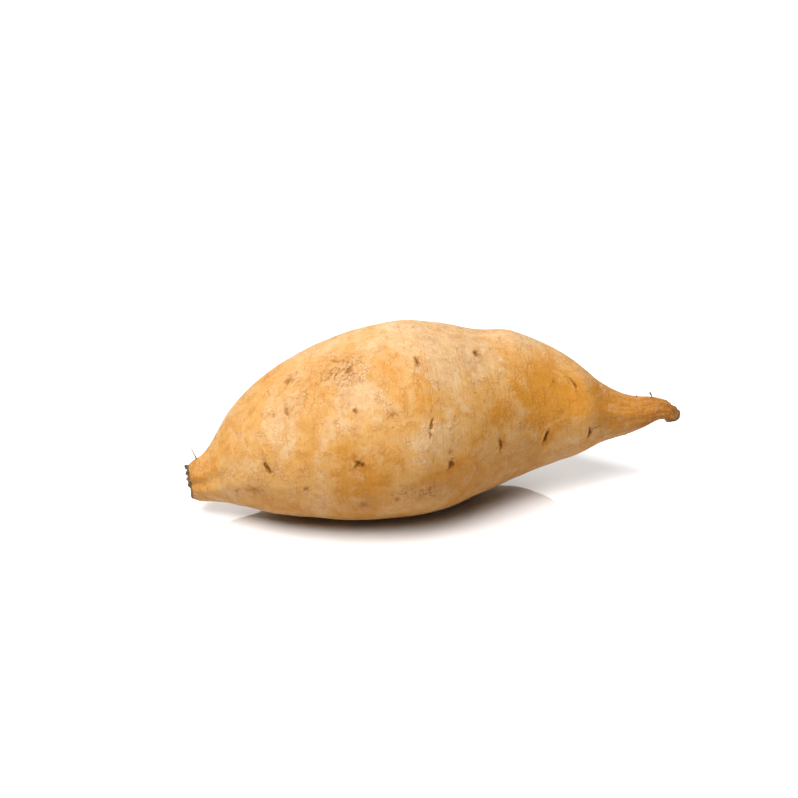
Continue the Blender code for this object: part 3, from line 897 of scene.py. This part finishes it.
# a pale glossy floor, a soft box overhead and a white sweep behind
studioSpec = {
    "floorSize": 12.0, "floorColour": (0.76, 0.75, 0.745), "floorRoughness": 0.03,
    "farGlow": (0.45, 1.4),           # metres out, where the floor turns into the white sweep
    "roomStrength": 0.08, "backdropStrength": 3.0, "lowGlow": 0.45,
    # where the backdrop and the low glow fade, as parts of the way out from the middle
    "backdropSide": (0.2, 0.75), "backdropTop": (0.55, 0.80), "backdropFoot": (0.14, 0.34),
    "lowGlowTop": (0.22, 0.40),
    "boxSize": 0.85, "boxPlace": (-0.30, -0.35, 0.93), "boxPower": 27.5,
    "lens": 85, "sensor": 36,
    "azimuth": -10, "elevation": 24, "distance": 0.641,
    "aim": (-0.013, 0.004, 0.0043),   # from the middle of the root's box
}


def makeFloor():
    bm = bmesh.new()
    bmesh.ops.create_grid(bm, x_segments=1, y_segments=1, size=studioSpec["floorSize"] / 2)
    floor = meshObject("studioFloor", bm)
    material, tree, shader = newMaterial("glossWhiteFloor", {
        "Base Color": (*studioSpec["floorColour"], 1), "Roughness": studioSpec["floorRoughness"], "IOR": 1.5})
    far = addNode(tree, "VectorMath", {0: addNode(tree, "TexCoord").outputs["Object"]}, operation="LENGTH")
    sweep = remap(tree, far.outputs["Value"], *studioSpec["farGlow"])
    seen = addNode(tree, "LightPath").outputs["Is Camera Ray"]
    shader.inputs["Emission Color"].default_value = (1, 1, 1, 1)
    tree.links.new(calc(tree, "MULTIPLY", sweep, seen), shader.inputs["Emission Strength"])
    floor.data.materials.append(material)


def makeLights():
    world = bpy.data.worlds.new("studioWorld")
    world.use_nodes = True
    tree = world.node_tree
    background = tree.nodes["Background"]
    background.inputs["Color"].default_value = (1, 1, 1, 1)
    way = addNode(tree, "SeparateXYZ", {0: addNode(tree, "TexCoord").outputs["Generated"]})
    backdrop = calc(tree, "MULTIPLY", remap(tree, way.outputs["Y"], *studioSpec["backdropSide"]),
                    remap(tree, way.outputs["Z"], *studioSpec["backdropTop"], 1, 0))
    backdrop = calc(tree, "MULTIPLY", backdrop, remap(tree, way.outputs["Z"], *studioSpec["backdropFoot"]))
    glow = calc(tree, "MULTIPLY", backdrop, studioSpec["backdropStrength"])
    glow = calc(tree, "ADD", glow, studioSpec["roomStrength"])  # a lit backdrop behind, a dim room in front
    path = addNode(tree, "LightPath")
    low = remap(tree, way.outputs["Z"], *studioSpec["lowGlowTop"], 1, 0)
    low = calc(tree, "MULTIPLY", low, path.outputs["Is Glossy Ray"])
    glow = calc(tree, "MAXIMUM", glow, calc(tree, "MULTIPLY", low, studioSpec["lowGlow"]))
    glow = calc(tree, "MAXIMUM", glow, path.outputs["Is Camera Ray"])  # white all round for the eye
    tree.links.new(glow, background.inputs["Strength"])
    bpy.context.scene.world = world
    lamp = bpy.data.lights.new("softBox", "AREA")
    lamp.shape = "SQUARE"
    lamp.size = studioSpec["boxSize"]
    lamp.energy = studioSpec["boxPower"]
    box = bpy.data.objects.new("softBox", lamp)
    box.location = studioSpec["boxPlace"]
    box.rotation_euler = Vector(studioSpec["boxPlace"]).to_track_quat("Z", "Y").to_euler()
    bpy.context.scene.collection.objects.link(box)


def makeCamera():
    lens = bpy.data.cameras.new("camera")
    lens.lens, lens.sensor_width = studioSpec["lens"], studioSpec["sensor"]
    camera = bpy.data.objects.new("camera", lens)
    a, e = math.radians(studioSpec["azimuth"]), math.radians(studioSpec["elevation"])
    ahead = Vector((-math.sin(a) * math.cos(e), math.cos(a) * math.cos(e), -math.sin(e)))
    target = rootMiddle + Vector(studioSpec["aim"])
    camera.location = target - ahead * studioSpec["distance"]
    camera.rotation_euler = ahead.to_track_quat("-Z", "Y").to_euler()
    bpy.context.scene.collection.objects.link(camera)
    bpy.context.scene.camera = camera


makeFloor()
makeLights()
makeCamera()
bpy.context.scene.view_settings.view_transform = "Standard"
print("studio ready")
